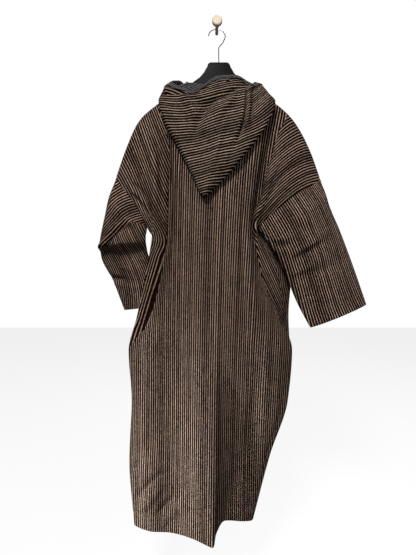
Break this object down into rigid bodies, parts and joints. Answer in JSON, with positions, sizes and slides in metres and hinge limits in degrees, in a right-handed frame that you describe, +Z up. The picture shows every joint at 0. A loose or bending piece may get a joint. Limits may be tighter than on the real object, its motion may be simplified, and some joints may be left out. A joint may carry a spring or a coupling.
{
  "type": "hooded djellaba on a hanger and wall peg",
  "caption": "Long hooded djellaba of brown and black striped wool, back outward, on a black plastic hanger with a wire hook over a turned wooden wall peg",
  "frame": {"origin": "middle of the peg's flat end, on the wall face, at its mount", "axes": "+Z up; +Y into the wall, so the garment's back faces -Y; +X to the right of someone who looks at the garment's back"},
  "size_m": [0.8057, 0.2308, 1.5206],
  "materials": {
    "striped_wool": "coarse hand-woven wool, narrow brown and near-black warp stripes, dry and slightly hairy",
    "hanger_plastic": "black moulded plastic, satin",
    "hook_wire": "plated steel wire",
    "peg_wood": "pale turned wood, lightly sanded"
  },
  "bodies": {
    "root": {"back_panel": "striped_wool", "front_panel": "striped_wool", "sleeve_left": "striped_wool", "sleeve_right": "striped_wool", "hood": "striped_wool", "hanger_body": "hanger_plastic", "hanger_hook": "hook_wire", "wall_peg": "peg_wood"}
  },
  "joints": []
}
